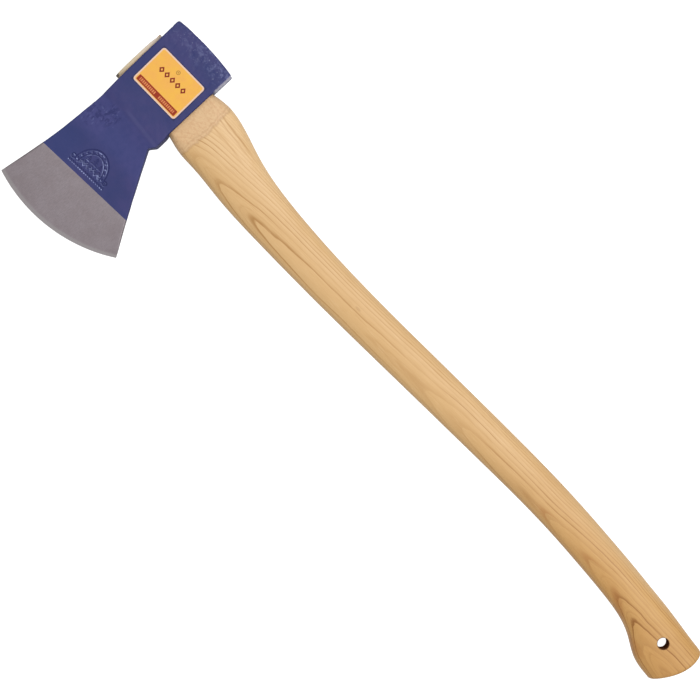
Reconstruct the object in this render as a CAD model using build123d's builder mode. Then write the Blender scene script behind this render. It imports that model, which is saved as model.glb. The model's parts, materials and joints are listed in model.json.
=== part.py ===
"""A felling axe lying on its side: a forged head, a curved handle wedged into its eye, and a label.

Millimetres. +Z is up. The handle runs along X, from the head at -X to the knob at +X.
The blade points to -Y and the poll to +Y. Z = 0 is the surface that the axe lies on,
and the origin is the bottom centre of the whole axe.
"""

import os
from math import copysign, cos, pi, sin, sqrt

from build123d import *

# ---------------------------------------------------------------- driving dimensions
OVERALL_LENGTH = 711.2  # toe of the blade to the end of the knob, along X
HEAD_LENGTH = 206.0  # poll to cutting edge, along Y
HEAD_THICKNESS = 28.0  # across the eye, along Z
HEAD_HEIGHT = 64.2  # top side to underside at the eye, along X
TOP_TO_TOE = 12.0  # how far the toe stands above the head's top side
PROUD = 4.3  # how far the handle's end stands out of the eye
HOLE_DIAMETER = 10.0  # hang hole in the knob
HOLE_AT = (324.5, 40.2)
LABEL_SIZE = (50.0, 38.0)
LABEL_AT = (-310.9, 57.7)
LABEL_TILT = 1.3  # degrees, as it is stuck on by hand
LABEL_CORNER = 2.5
LABEL_THICKNESS = 0.2

# ---------------------------------------------------------------- places worked out
POLL_Y = HEAD_LENGTH / 2
EDGE_Y = -HEAD_LENGTH / 2
TOE_X = -OVERALL_LENGTH / 2
KNOB_X = OVERALL_LENGTH / 2
TOP_X = TOE_X + TOP_TO_TOE
BOTTOM_X = TOP_X + HEAD_HEIGHT
HANDLE_TOP_X = TOP_X - PROUD
HALF = HEAD_THICKNESS / 2
CHEEK_TOP = Plane.XY.offset(HEAD_THICKNESS)


def across(x):
    """Sketch plane square to the handle at x: sketch X is Y, sketch Y is Z above mid thickness."""
    return Plane(origin=(x, 0, HALF), x_dir=(0, 1, 0), z_dir=(1, 0, 0))


# ---------------------------------------------------------------- blade
EYE_BLOCK_FRONT = 14.5  # where the flat of the eye ends and the blade's taper begins
TOE = (TOE_X, EDGE_Y + 6.8)
HEEL = (BOTTOM_X + 45.3, EDGE_Y + 26.6)
EDGE_APEX_X = TOE_X + 38.8
EDGE_RADIUS = 145.0
PAINT_LINE_Y = -51.5  # middle of the straight line where the ground bit begins
PAINT_LINE_SLOPE = 0.065
GRIND_HALF_THICKNESS = 4.3  # of the blade at that line
HONE_WIDTH = 3.0
HONE_HALF_THICKNESS = 0.5
BLADE_STATIONS = 7
BLADE_MARGIN = 2.0  # blade lofted past the outline on both sides, then trimmed to it

# Blade between the eye block and the ground bit: (share of the way, share of the half thickness).
BLADE_TAPER = [(0.12, 0.80), (0.35, 0.56), (0.68, 0.39)]


def edge_y(x):
    """Y of the round cutting edge at x."""
    return EDGE_Y + EDGE_RADIUS - sqrt(EDGE_RADIUS**2 - (x - EDGE_APEX_X) ** 2)


def mirrored(point):
    return (point[0], -point[1])


def blade_section(x):
    """Wedge-shaped section of the blade at x, from the eye block to the cutting edge."""
    line_y = PAINT_LINE_Y + PAINT_LINE_SLOPE * (x - (TOE_X + HEEL[0]) / 2)
    start = (EYE_BLOCK_FRONT, HALF)
    taper = [
        (EYE_BLOCK_FRONT + run * (line_y - EYE_BLOCK_FRONT), HALF * thickness)
        for run, thickness in BLADE_TAPER
    ]
    grind = (line_y, GRIND_HALF_THICKNESS)
    hone = (edge_y(x) + HONE_WIDTH, HONE_HALF_THICKNESS)
    upper = [start, *taper, grind]
    lower = [mirrored(point) for point in reversed(upper)]
    with BuildSketch(across(x)) as section:
        with BuildLine():
            Spline(*upper)
            Polyline(grind, hone, (edge_y(x), 0), mirrored(hone), mirrored(grind))
            Spline(*lower)
            Line(mirrored(start), start)
        make_face()
    return section.sketch


with BuildPart() as blade:
    for i in range(BLADE_STATIONS):
        share = i / (BLADE_STATIONS - 1)
        add(blade_section(TOE_X - BLADE_MARGIN + share * (HEEL[0] - TOE_X + 2 * BLADE_MARGIN)))
    loft()

# ---------------------------------------------------------------- tongue of the handle, which fills the eye
EYE_LOW = 29.0
EYE_HIGH = 78.9  # at the underside
EYE_LEAN = 2.0  # extra length of the eye at the top, on the poll's side
EYE_WIDTH = 19.5
EYE_FLARE = 1.0  # extra width at the top, where the wedge spreads the wood
EYE_CENTRE_Y = (EYE_LOW + EYE_HIGH) / 2
SHOULDER_OVERLAP = 6.0  # tongue carried on inside the shoulder


def oval(x, low, high, thickness, squareness=2.0):
    """Oval section of the handle at x: low and high are Y, squareness 2 is an ellipse."""
    count = 16
    power = 2 / squareness
    points = []
    for i in range(count):
        c = cos(2 * pi * i / count)
        s = sin(2 * pi * i / count)
        y = (low + high) / 2 + (high - low) / 2 * copysign(abs(c) ** power, c)
        z = thickness / 2 * copysign(abs(s) ** power, s)
        points.append((y, z))
    with BuildSketch(across(x)) as section:
        with BuildLine():
            Spline(*points, periodic=True)
        make_face()
    return section.sketch


with BuildPart() as tongue:
    add(oval(HANDLE_TOP_X, EYE_LOW, EYE_HIGH + EYE_LEAN, EYE_WIDTH + EYE_FLARE, 2.5))
    add(oval(BOTTOM_X + SHOULDER_OVERLAP, EYE_LOW, EYE_HIGH, EYE_WIDTH, 2.5))
    loft(ruled=True)

# ---------------------------------------------------------------- wedges
WEDGE_DEPTH = 46.0
WEDGE_TOP = 3.4
WEDGE_TIP = 0.9
RING_DIAMETER = 16.0
RING_WALL = 1.8
RING_DEPTH = 20.0
RING_TIP_WALL = 0.6

with BuildPart() as steel_ring_wedge:
    with BuildSketch(Plane.XY) as ring_profile:
        with BuildLine():
            Polyline(
                (HANDLE_TOP_X, RING_DIAMETER / 2),
                (HANDLE_TOP_X, RING_DIAMETER / 2 - RING_WALL),
                (HANDLE_TOP_X + RING_DEPTH, RING_DIAMETER / 2 - RING_TIP_WALL),
                (HANDLE_TOP_X + RING_DEPTH, RING_DIAMETER / 2),
                close=True,
            )
        make_face()
    revolve(axis=Axis.X)
steel_ring_wedge.part = Pos(0, EYE_CENTRE_Y, HALF) * steel_ring_wedge.part
steel_ring_wedge.part.label = "steel_ring_wedge"

with BuildPart() as wooden_wedge:
    with BuildSketch(Plane.XZ):
        with BuildLine():
            Polyline(
                (HANDLE_TOP_X, HALF - WEDGE_TOP / 2),
                (HANDLE_TOP_X + WEDGE_DEPTH, HALF - WEDGE_TIP / 2),
                (HANDLE_TOP_X + WEDGE_DEPTH, HALF + WEDGE_TIP / 2),
                (HANDLE_TOP_X, HALF + WEDGE_TOP / 2),
                close=True,
            )
        make_face()
    extrude(amount=-POLL_Y)
    add(tongue.part, mode=Mode.INTERSECT)
    add(steel_ring_wedge.part, mode=Mode.SUBTRACT)
wooden_wedge.part.label = "wooden_wedge"

# ---------------------------------------------------------------- head
POLL_SAG = 2.1  # how far the crowned poll falls at its top corner
POLL_SAG_BELOW = 1.9  # and at its lower corner
POLL_NARROWING = 1.2  # of each cheek at the poll
POLL_TAPER_START = 82.0
LUG_HEIGHT = 0.8  # lug below the underside, in front of the handle
LUG_TOP = (27.0, 23.2)  # slope between these two Y
LUG_BOTTOM = (12.3, 6.5)
NOTCH = (BOTTOM_X - 3.3, 6.5)
UNDERSIDE_MIDDLE = (BOTTOM_X + 17.4, -30.0)  # of the blade's hollow underside
TOP_SIDE = [  # from the toe up
    (TOP_X - 7.1, -67),
    (TOP_X - 2.4, -33),
    (TOP_X - 0.5, -9),
    (TOP_X + 0.8, 13),
    (TOP_X, 28),
]
TOP_SLANT = 1.0  # how far the top side leans out towards the poll
EDGE_MARGIN = 5.0  # outline carried on past the cutting edge, which the blade itself ends
POLL_CORNER = 1.6
RIM_SOFTENING = 1.2  # rounding around the cheeks and the poll


def on_cheek_rim(box):
    """True for an edge with this box where a cheek of the eye block meets a side of the head."""
    flat = box.size.Z < HALF / 2
    on_cheek = box.min.Z > HEAD_THICKNESS - 2 or box.max.Z < 2
    crease = box.size.Y < 0.01 and box.size.X > HEAD_HEIGHT - 1
    return flat and on_cheek and not crease and box.min.Y > EYE_BLOCK_FRONT - 0.1


with BuildPart() as axe_head:
    with BuildSketch(Plane.YZ.offset(TOE_X)):
        with BuildLine():
            Polyline(
                (EYE_BLOCK_FRONT, 0),
                (POLL_TAPER_START, 0),
                (POLL_Y + 1, POLL_NARROWING),
                (POLL_Y + 1, HEAD_THICKNESS - POLL_NARROWING),
                (POLL_TAPER_START, HEAD_THICKNESS),
                (EYE_BLOCK_FRONT, HEAD_THICKNESS),
                close=True,
            )
        make_face()
    extrude(amount=HEEL[0] - TOE_X)
    add(blade.part)
    with BuildSketch() as outline:
        with BuildLine():
            ThreePointArc(
                (TOP_X - TOP_SLANT, POLL_Y - POLL_SAG),
                ((TOP_X + BOTTOM_X) / 2, POLL_Y),
                (BOTTOM_X, POLL_Y - POLL_SAG_BELOW),
            )
            Polyline(
                (BOTTOM_X, POLL_Y - POLL_SAG_BELOW),
                (BOTTOM_X, LUG_TOP[0]),
                (BOTTOM_X + LUG_HEIGHT, LUG_TOP[1]),
                (BOTTOM_X + LUG_HEIGHT, LUG_BOTTOM[0]),
                NOTCH,
            )
            ThreePointArc(NOTCH, UNDERSIDE_MIDDLE, HEEL)
            Polyline(HEEL, (HEEL[0], EDGE_Y - EDGE_MARGIN), (TOE_X, EDGE_Y - EDGE_MARGIN), TOE)
            Spline(TOE, *TOP_SIDE, tangents=((0.18, 1), (0, 1)))
            Line(TOP_SIDE[-1], (TOP_X - TOP_SLANT, POLL_Y - POLL_SAG))
        make_face()
    extrude(amount=HEAD_THICKNESS, mode=Mode.INTERSECT)
    add(tongue.part, mode=Mode.SUBTRACT)
    poll_corners = axe_head.edges().filter_by(Axis.Z).filter_by_position(Axis.Y, POLL_Y - 5, POLL_Y)
    fillet(poll_corners, POLL_CORNER)
    cheek_rims = [edge for edge in axe_head.edges() if on_cheek_rim(edge.bounding_box())]
    fillet(cheek_rims, RIM_SOFTENING)
axe_head.part.label = "axe_head"

# ---------------------------------------------------------------- handle
# Sections of the handle: (distance below the head, low Y, high Y, thickness, squareness).
HANDLE_SECTIONS = [
    (0, 27.3, 79.1, 27.0, 3.0),
    (16.3, 23.9, 81.8, 27.0, 3.0),
    (33.3, 23.5, 80.2, 26.6, 2.8),
    (67.3, 21.4, 71.0, 25.0, 2.6),
    (119.3, 20.8, 63.6, 23.0, 2.4),
    (186.8, 22.5, 61.6, 22.4, 2.3),
    (289.8, 27.4, 64.7, 22.4, 2.3),
    (391.3, 32.5, 68.9, 23.0, 2.3),
    (459.8, 34.7, 70.1, 23.6, 2.3),
    (511.3, 33.3, 68.6, 24.2, 2.3),
    (544.8, 31.2, 66.9, 25.2, 2.3),
    (561.8, 28.9, 65.7, 26.0, 2.3),
    (578.8, 23.3, 64.6, 26.8, 2.4),
    (596.3, 14.4, 63.0, 27.6, 2.5),
    (613.3, 11.5, 61.0, 27.9, 2.5),
    (646.8, 10.9, 58.3, 27.9, 2.5),
]
# Slanted, rounded end of the knob, from its low corner to its high corner.
KNOB_END = [
    (KNOB_X - 19.5, 5),
    (KNOB_X - 9.3, 20),
    (KNOB_X - 1.1, 38),
    (KNOB_X, 46),
    (KNOB_X - 1.0, 56),
    (KNOB_X - 4.0, 65),
]
SHOULDER_SLOPE = 0.16  # of the two facets that run up from the eye to the handle's full thickness
SHOULDER_LEDGE = 0.3
KNOB_ROUNDING = 2.5
HOLE_ROUNDING = 0.8


def around_hole(box):
    """True for an edge with this box that runs round the hang hole."""
    centred = abs(box.center().X - HOLE_AT[0]) < 1 and abs(box.center().Y - HOLE_AT[1]) < 1
    return centred and box.size.X > HOLE_DIAMETER - 1


shoulder_edge = (BOTTOM_X, EYE_CENTRE_Y, HALF + EYE_WIDTH / 2 + SHOULDER_LEDGE)
shoulder_facet = Plane(origin=shoulder_edge, x_dir=(0, 1, 0), z_dir=(-SHOULDER_SLOPE, 0, 1))

with BuildPart() as handle:
    for below, low, high, thickness, squareness in HANDLE_SECTIONS:
        add(oval(BOTTOM_X + below, low, high, thickness, squareness))
    loft()
    split(bisect_by=shoulder_facet, keep=Keep.BOTTOM)
    mirror_facet = Plane(
        origin=(BOTTOM_X, EYE_CENTRE_Y, HALF - EYE_WIDTH / 2 - SHOULDER_LEDGE),
        x_dir=(0, 1, 0),
        z_dir=(-SHOULDER_SLOPE, 0, -1),
    )
    split(bisect_by=mirror_facet, keep=Keep.BOTTOM)
    with BuildSketch() as knob_trim:
        with BuildLine():
            Spline(*KNOB_END)
            Polyline(KNOB_END[-1], (BOTTOM_X, POLL_Y), (BOTTOM_X, 0), KNOB_END[0])
        make_face()
    extrude(amount=2 * HEAD_THICKNESS, mode=Mode.INTERSECT)
    knob_rim = handle.edges().filter_by(lambda edge: edge.bounding_box().max.X > KNOB_X - 1)
    fillet(knob_rim, KNOB_ROUNDING)
    with Locations((*HOLE_AT, HALF)):
        Cylinder(HOLE_DIAMETER / 2, 2 * HEAD_THICKNESS, mode=Mode.SUBTRACT)
    hole_rims = handle.edges().filter_by(lambda edge: around_hole(edge.bounding_box()))
    fillet(hole_rims, HOLE_ROUNDING)
    add(tongue.part)
    add(wooden_wedge.part, mode=Mode.SUBTRACT)
    add(steel_ring_wedge.part, mode=Mode.SUBTRACT)
handle.part.label = "handle"

# ---------------------------------------------------------------- label on the upper cheek
with BuildPart() as head_label:
    with BuildSketch(CHEEK_TOP):
        with Locations(LABEL_AT):
            RectangleRounded(*LABEL_SIZE, LABEL_CORNER, rotation=LABEL_TILT)
    extrude(amount=LABEL_THICKNESS)
head_label.part.label = "head_label"

os.makedirs("parts", exist_ok=True)
for piece in (axe_head, handle, wooden_wedge, steel_ring_wedge, head_label):
    export_step(piece.part, f"parts/{piece.part.label}.step")
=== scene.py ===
"""A felling axe lying on its side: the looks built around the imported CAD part."""

import json
import math

import bmesh
import bpy
import numpy as np
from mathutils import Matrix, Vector


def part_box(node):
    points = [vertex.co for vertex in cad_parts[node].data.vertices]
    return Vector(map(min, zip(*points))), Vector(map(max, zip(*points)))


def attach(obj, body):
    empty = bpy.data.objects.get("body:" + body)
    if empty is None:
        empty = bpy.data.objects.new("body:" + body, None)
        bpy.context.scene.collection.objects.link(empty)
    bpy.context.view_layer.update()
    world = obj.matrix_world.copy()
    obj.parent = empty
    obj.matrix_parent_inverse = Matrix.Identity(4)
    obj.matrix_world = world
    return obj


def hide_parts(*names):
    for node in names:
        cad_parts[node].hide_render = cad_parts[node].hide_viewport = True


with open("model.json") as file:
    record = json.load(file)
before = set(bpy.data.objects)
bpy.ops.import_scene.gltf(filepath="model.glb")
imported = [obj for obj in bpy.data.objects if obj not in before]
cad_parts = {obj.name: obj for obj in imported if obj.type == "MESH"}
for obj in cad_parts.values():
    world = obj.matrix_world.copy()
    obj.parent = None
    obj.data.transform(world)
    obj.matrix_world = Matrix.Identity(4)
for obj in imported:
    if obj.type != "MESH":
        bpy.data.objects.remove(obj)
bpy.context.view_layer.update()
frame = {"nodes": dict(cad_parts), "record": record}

MM = 0.001

# ---------------- places read from the frame, in mm


def box_mm(node):
    low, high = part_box(node)
    return np.array(low) / MM, np.array(high) / MM


HEAD_LOW, HEAD_HIGH = box_mm("axe_head")
HANDLE_LOW, HANDLE_HIGH = box_mm("handle")
LABEL_LOW, LABEL_HIGH = box_mm("head_label")
RING_LOW, RING_HIGH = box_mm("steel_ring_wedge")
WEDGE_LOW, WEDGE_HIGH = box_mm("wooden_wedge")
HOLE = np.array(next(m for m in frame["record"]["mounts"] if m["name"] == "hang_hole")["pos_m"]) / MM

HALF = HEAD_HIGH[2] / 2
TOP_TO_TOE = 12.0  # how far the toe stands above the head's top side
HEAD_HEIGHT = 64.2  # top side to underside at the eye
TOE_X = HEAD_LOW[0]
TOP_X = TOE_X + TOP_TO_TOE
BOTTOM_X = TOP_X + HEAD_HEIGHT
POLL_Y = HEAD_HIGH[1]
EDGE_Y = HEAD_LOW[1]
HEEL_X = BOTTOM_X + 45.3
HEEL_Y = EDGE_Y + 26.6
HANDLE_TOP_X = HANDLE_LOW[0]
KNOB_X = HANDLE_HIGH[0]
HOLE_RADIUS = 5.0
EYE_Y = (RING_LOW[1] + RING_HIGH[1]) / 2
EYE_LENGTH = 49.9  # at the underside
EYE_LEAN = 2.0  # extra length at the top, on the poll's side
EYE_WIDTH = 19.5
LABEL_WIDTH, LABEL_HEIGHT = 50.0, 38.0
LABEL_TILT = math.radians(1.3)
LABEL_MIDDLE = (LABEL_HIGH + LABEL_LOW) / 2

# ---------------- small maths helpers


def spline_through(xs, ys):
    """Natural cubic spline through the points, held flat outside them."""
    xs, ys = np.array(xs, float), np.array(ys, float)
    count = len(xs)
    step = np.diff(xs)
    matrix, right = np.eye(count), np.zeros(count)
    for i in range(1, count - 1):
        matrix[i, i - 1 : i + 2] = step[i - 1], 2 * (step[i - 1] + step[i]), step[i]
        right[i] = 6 * ((ys[i + 1] - ys[i]) / step[i] - (ys[i] - ys[i - 1]) / step[i - 1])
    bend = np.linalg.solve(matrix, right)

    def at(x):
        x = np.clip(x, xs[0], xs[-1])
        i = np.clip(np.searchsorted(xs, x, side="right") - 1, 0, count - 2)
        a, b, h = x - xs[i], xs[i + 1] - x, step[i]
        cubic = (bend[i] * b**3 + bend[i + 1] * a**3) / (6 * h)
        return cubic + (ys[i] / h - bend[i] * h / 6) * b + (ys[i + 1] / h - bend[i + 1] * h / 6) * a

    return at


def blend(low, high, x):
    """0 below low, 1 above high and a smooth rise between."""
    t = np.clip((x - low) / (high - low), 0, 1)
    return t * t * (3 - 2 * t)


def soft_min(a, b, softness):
    gap = np.clip(0.5 + 0.5 * (b - a) / softness, 0, 1)
    return b + (a - b) * gap - softness * gap * (1 - gap)


def noise(points, size, seed):
    """Smooth noise from -1 to 1 at points, with grains of the given size in mm."""
    p = np.asarray(points) / size + seed * 17.31
    cell = np.floor(p).astype(np.int64)
    f = p - cell
    f = f * f * (3 - 2 * f)
    total = np.zeros(p.shape[:-1])
    for corner in np.ndindex(2, 2, 2):
        n = (cell[..., 0] + corner[0]) * 73856093
        n = n ^ ((cell[..., 1] + corner[1]) * 19349663)
        n = (n ^ ((cell[..., 2] + corner[2]) * 83492791)) & 0x7FFFFFFF
        n = (n * 1103515245 + 12345 + seed) & 0x7FFFFFFF
        n = ((n >> 8) * 1664525 + 1013904223) & 0x7FFFFFFF
        value = n / 0x3FFFFFFF - 1
        weight = np.ones(p.shape[:-1])
        for axis in range(3):
            weight = weight * (f[..., axis] if corner[axis] else 1 - f[..., axis])
        total += weight * value
    return total


# ---------------- mesh helpers


def make_object(name, points, faces, face_slots=None, sharp_angle=35):
    """Mesh object from points in mm, smooth except along edges sharper than sharp_angle."""
    mesh = bpy.data.meshes.new(name)
    mesh.from_pydata((np.asarray(points) * MM).tolist(), [], faces)
    if face_slots is not None:
        mesh.polygons.foreach_set("material_index", face_slots)
    tidy(mesh, sharp_angle)
    obj = bpy.data.objects.new(name, mesh)
    bpy.context.collection.objects.link(obj)
    return obj


def tidy(mesh, sharp_angle):
    """Welds double points, points all faces outward and marks the sharp edges."""
    bm = bmesh.new()
    bm.from_mesh(mesh)
    bmesh.ops.remove_doubles(bm, verts=bm.verts, dist=2e-6)
    bmesh.ops.dissolve_degenerate(bm, edges=bm.edges, dist=1e-7)
    bmesh.ops.recalc_face_normals(bm, faces=bm.faces)
    mark_sharp(bm, sharp_angle)
    bm.to_mesh(mesh)
    bm.free()


def mark_sharp(bm, sharp_angle):
    for face in bm.faces:
        face.smooth = True
    for edge in bm.edges:
        edge.smooth = edge.is_manifold and edge.calc_face_angle(0) < math.radians(sharp_angle)


def cut(obj, cutter, sharp_angle=35):
    """Takes cutter out of obj and deletes it."""
    modifier = obj.modifiers.new("cut", "BOOLEAN")
    modifier.operation = "DIFFERENCE"
    modifier.solver = "EXACT"
    modifier.object = cutter
    graph = bpy.context.evaluated_depsgraph_get()
    mesh = bpy.data.meshes.new_from_object(obj.evaluated_get(graph))
    obj.modifiers.clear()
    obj.data = mesh
    bpy.data.objects.remove(cutter)
    bm = bmesh.new()
    bm.from_mesh(mesh)
    bmesh.ops.triangulate(bm, faces=[f for f in bm.faces if len(f.verts) > 4])
    mark_sharp(bm, sharp_angle)
    bm.to_mesh(mesh)
    bm.free()


def grid_faces(rows, columns, first=0):
    i, j = np.meshgrid(np.arange(rows - 1), np.arange(columns - 1), indexing="ij")
    a = first + i * columns + j
    return np.stack([a, a + 1, a + columns + 1, a + columns], -1).reshape(-1, 4).tolist()


def ring_faces(spans, count, around):
    """Faces over the first spans between count rings, where the ring after the last is the first."""
    i, j = np.meshgrid(np.arange(spans), np.arange(around), indexing="ij")
    here, there, k = i * around, (i + 1) % count * around, (j + 1) % around
    return np.stack([here + j, here + k, there + k, there + j], -1).reshape(-1, 4).tolist()


def tube(name, rings, sharp_angle=35):
    """Closed solid from rings of points: the ends are closed on their centres."""
    rings = np.asarray(rings)
    count, around = rings.shape[:2]
    points = rings.reshape(-1, 3)
    faces = ring_faces(count - 1, count, around)
    start, end = len(points), len(points) + 1
    points = np.vstack([points, rings[0].mean(0), rings[-1].mean(0)])
    for j in range(around):
        k = (j + 1) % around
        faces.append((start, k, j))
        faces.append((end, (count - 1) * around + j, (count - 1) * around + k))
    return make_object(name, points, faces, sharp_angle=sharp_angle)


# ---------------- head: outline and thickness
PAINT_LINE_Y = -51.5  # middle of the slanted line where the paint ends and the ground bit begins
PAINT_SLOPE = 0.065
CREASE_Y = 14.5  # where the flat cheek of the eye ends and the blade's taper begins
EDGE_APEX_X = TOE_X + 38.8
EDGE_RADIUS = 145.0
HONE_WIDTH = 3.0
HONE_HALF = 0.5
POLL_TAPER_Y = 82.0
POLL_NARROWING = 1.2
SLANT_Y = 28.0  # the top side is curved below this Y and slants up straight beyond it
UNDERSIDE_SPREAD = 0.55  # how fast the underside still spreads past the heel

# Top side of the head: (Y, X).
_top_curve = spline_through(*np.array([
    (-110, TOE_X - 2.4),
    (-96.2, TOE_X),
    (-67, TOP_X - 7.1),
    (-33, TOP_X - 2.4),
    (-9, TOP_X - 0.5),
    (13, TOP_X + 0.8),
    (SLANT_Y, TOP_X),
    (40, TOP_X - 0.2),
]).T)

# Underside of the head, with the notch and the lug in front of the handle: (Y, X below the eye's underside).
UNDERSIDE = np.array([
    (HEEL_Y, 45.3),
    (-55, 32.2),
    (-30, 17.4),
    (-10, 5.9),
    (6.5, -3.3),
    (12.3, 0.8),
    (23.2, 0.8),
    (27.5, 0),
    (60, 0),
])
SOFTENING = np.hanning(11)[1:-1] / np.hanning(11).sum()
_side_y = np.arange(-110, 110, 0.25)
_side_x = np.interp(_side_y, UNDERSIDE[:, 0], UNDERSIDE[:, 1] + BOTTOM_X)
_side_x = _side_x + np.clip(HEEL_Y - _side_y, 0, None) * UNDERSIDE_SPREAD
_side_x = np.convolve(np.pad(_side_x, len(SOFTENING) // 2, mode="edge"), SOFTENING, mode="valid")


def top_side(y):
    """X of the head's top side at y."""
    return np.where(y < SLANT_Y, _top_curve(y), TOP_X - (y - SLANT_Y) / (POLL_Y - SLANT_Y - 2))


def bottom_side(y):
    """X of the head's underside at y."""
    return np.interp(y, _side_y, _side_x)


def poll_curve(x):
    """Y of the crowned poll at x."""
    t = (x - (TOP_X + BOTTOM_X) / 2) / ((BOTTOM_X - TOP_X) / 2)
    return POLL_Y - np.where(t < 0, 2.1, 1.9) * t * t


def edge_curve(x):
    """Y of the round cutting edge at x."""
    return EDGE_Y + EDGE_RADIUS - np.sqrt(EDGE_RADIUS**2 - (x - EDGE_APEX_X) ** 2)


def paint_line(x):
    """Y where the paint ends at x."""
    return PAINT_LINE_Y + PAINT_SLOPE * (x - (TOE_X + HEEL_X) / 2)


# The cheek's taper: share of the way from the crease to the paint line, share of the half thickness.
CHEEK_RUN = [-0.2, 0, 0.12, 0.35, 0.68, 1.0]
CHEEK_HEIGHT = [1.0, 1.0, 0.80, 0.56, 0.39, 0.307]
_taper = spline_through(CHEEK_RUN, CHEEK_HEIGHT)


def half_thickness(x, y):
    """Half thickness of the head at x, y before its corners are rounded."""
    line = paint_line(x)
    run = (CREASE_Y - y) / (CREASE_Y - line)
    across = np.clip((x - TOP_X) / 60, 0, 1)
    softness = 0.10 - 0.07 * across
    taper = np.where(run > 0, _taper(run), 1.0)
    smooth = sum(
        np.where(run + k * softness > 0, _taper(run + k * softness), 1.0) for k in (-1, -0.5, 0, 0.5, 1)
    )
    near = 1 - blend(0.1, 0.35, np.abs(run))
    thick = HALF * (taper * (1 - near) + smooth / 5 * near)
    edge = edge_curve(x)
    grind = np.clip((line - y) / (line - edge - HONE_WIDTH), 0, 1)
    hone = np.clip((y - edge) / HONE_WIDTH, 0, 1)
    start = HALF * CHEEK_HEIGHT[-1]
    bit = start + (HONE_HALF - start) * grind + 0.9 * grind * (1 - grind)
    thick = np.where(y < line, bit, thick)
    thick = np.where(y < edge + HONE_WIDTH, HONE_HALF * hone, thick)
    poll = np.clip(y - POLL_TAPER_Y, 0, None) / (POLL_Y + 1 - POLL_TAPER_Y)
    return thick - POLL_NARROWING * poll**1.4


def round_over(distance, radius):
    """How far a rounded corner falls at a distance in from the side."""
    d = np.clip(radius - distance, 0, radius)
    return radius - np.sqrt(radius**2 - d**2)


# ---------------- head: stamped ornament
STAMP_X = TOP_X + 39.3
STAMP_Y = -45.2
STAMP_TILT = PAINT_SLOPE
ARCH_HALF, ARCH_HEIGHT = 15.8, 19.6


class Grid:
    """A number at every point of a mesh, with the same arithmetic as a Value in a material."""

    def __init__(self, array):
        self.array = np.asarray(array, float)

    def abs(self):
        return Grid(np.abs(self.array))

    def sqrt(self):
        return Grid(np.sqrt(self.array))

    def fract(self):
        return Grid(self.array % 1.0)

    def ramp(self, low, high, start=0.0, end=1.0):
        return Grid(start + (end - start) * blend(low, high, self.array))

    def fall(self, low, high):
        return self.ramp(low, high, 1.0, 0.0)


def grid_method(function):
    return lambda self, other: Grid(function(self.array, other.array if isinstance(other, Grid) else other))


for _name, _function in {
    "__add__": np.add,
    "__sub__": np.subtract,
    "__mul__": np.multiply,
    "__truediv__": np.divide,
    "max": np.maximum,
    "min": np.minimum,
    "angle": np.arctan2,
}.items():
    setattr(Grid, _name, grid_method(_function))


def ornament(x, y):
    """Depth from 0 to 1 of the cheek's ornament: a beaded arch over firs, a zigzag and a row of bars."""
    u = (x - STAMP_X) + (y - STAMP_Y) * STAMP_TILT
    v = (y - STAMP_Y) - (x - STAMP_X) * STAMP_TILT

    def line(distance, width):
        return distance.abs().fall(width * 0.4, width)

    def arch(half, height):
        above = (v - 1.5).max(0.0) / height
        return ((u / half * (u / half) + above * above).sqrt() - 1.0) * half

    over_base = v.ramp(1.2, 1.7)
    depth = line(arch(ARCH_HALF, ARCH_HEIGHT), 0.85) * over_base
    depth = depth.max(line(arch(ARCH_HALF - 3.6, ARCH_HEIGHT - 3.6), 0.55) * over_base)
    middle_half, middle_height = ARCH_HALF - 1.8, ARCH_HEIGHT - 1.8
    bead = (((v - 1.5) / middle_height).angle(u / middle_half) * (11 / math.pi)).fract() - 0.5
    bead_ring = arch(middle_half, middle_height)
    beads = (bead * bead * 16.0 + bead_ring * bead_ring).sqrt().fall(0.5, 1.0)
    depth = depth.max(beads * over_base)
    zigzag = v - 2.6 - ((u / 4.2).fract() - 0.5).abs() * 5.6
    inside = u.abs().fall(11.2, 11.8)
    depth = depth.max(line(zigzag, 0.8) * inside)
    depth = depth.max(line(zigzag - 1.7, 0.5) * inside)
    for centre, height, width in ((0.0, 7.6, 3.4), (-6.2, 5.0, 2.4), (6.2, 5.0, 2.4)):
        for tier in range(3):
            tip = 8.0 + height * (1 - 0.28 * tier)
            foot = tip - height * 0.38
            half = width * (0.5 + 0.25 * tier)
            flank = (v * -1.0 + tip) * (half / (tip - foot)) - (u - centre).abs()
            fir = flank.ramp(0.0, 0.3) * v.ramp(foot - 0.1, foot + 0.1)
            depth = depth.max(fir * 0.9)
    bar = ((u / 2.3).fract() - 0.5).abs().fall(0.22, 0.34)
    depth = depth.max(bar * (v + 1.1).abs().fall(0.6, 1.0) * u.abs().fall(19.6, 20.0))
    side = u.abs() - 18.0
    scroll = (side * side + (v - 3.2) * (v - 3.2)).sqrt()
    depth = depth.max(line(scroll - 1.7, 0.6))
    return depth.max(scroll.fall(0.4, 0.8))


# ---------------- head: mesh
ACROSS_INNER = 118
RIM = np.array([0, 0.05, 0.16, 0.33, 0.55, 0.85, 1.2, 1.65])  # mm in from a rim
WALL_ROWS = 19
# Where the upper cheek's paint is chipped: (X, Y, softness squared).
WORN_SPOTS = [(TOP_X + 6.8, -7.0, 120), (TOP_X + 17.8, 2.0, 160)]


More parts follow.
